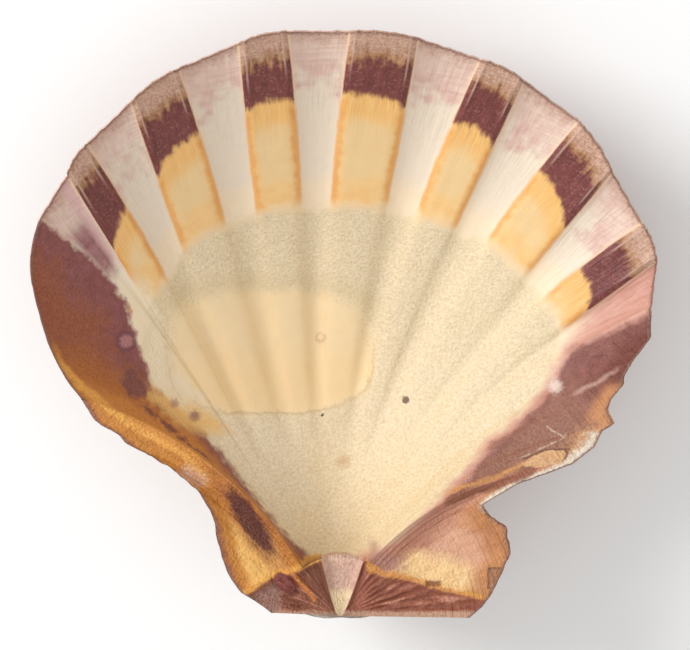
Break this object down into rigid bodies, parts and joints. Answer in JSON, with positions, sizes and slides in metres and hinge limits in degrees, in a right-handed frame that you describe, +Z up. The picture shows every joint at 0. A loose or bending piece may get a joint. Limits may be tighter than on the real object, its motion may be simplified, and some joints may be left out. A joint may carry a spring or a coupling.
{
  "type": "scallop shell",
  "caption": "One valve of a large scallop: a fan-shaped ribbed bowl with a scalloped rim, two unequal ears, a hinge plate and a ligament pit.",
  "frame": {"origin": "middle of the bounding box in X and Y, at its lowest height, as the shell lies on its rounded outside", "axes": "+Z up out of the open side, X along the hinge with the larger notched ear on +X, +Y from the hinge to the far rim"},
  "size_m": [0.125, 0.1182, 0.0374],
  "materials": {
    "shell": "satin"
  },
  "bodies": {
    "root": {"valve": "shell"}
  },
  "joints": []
}
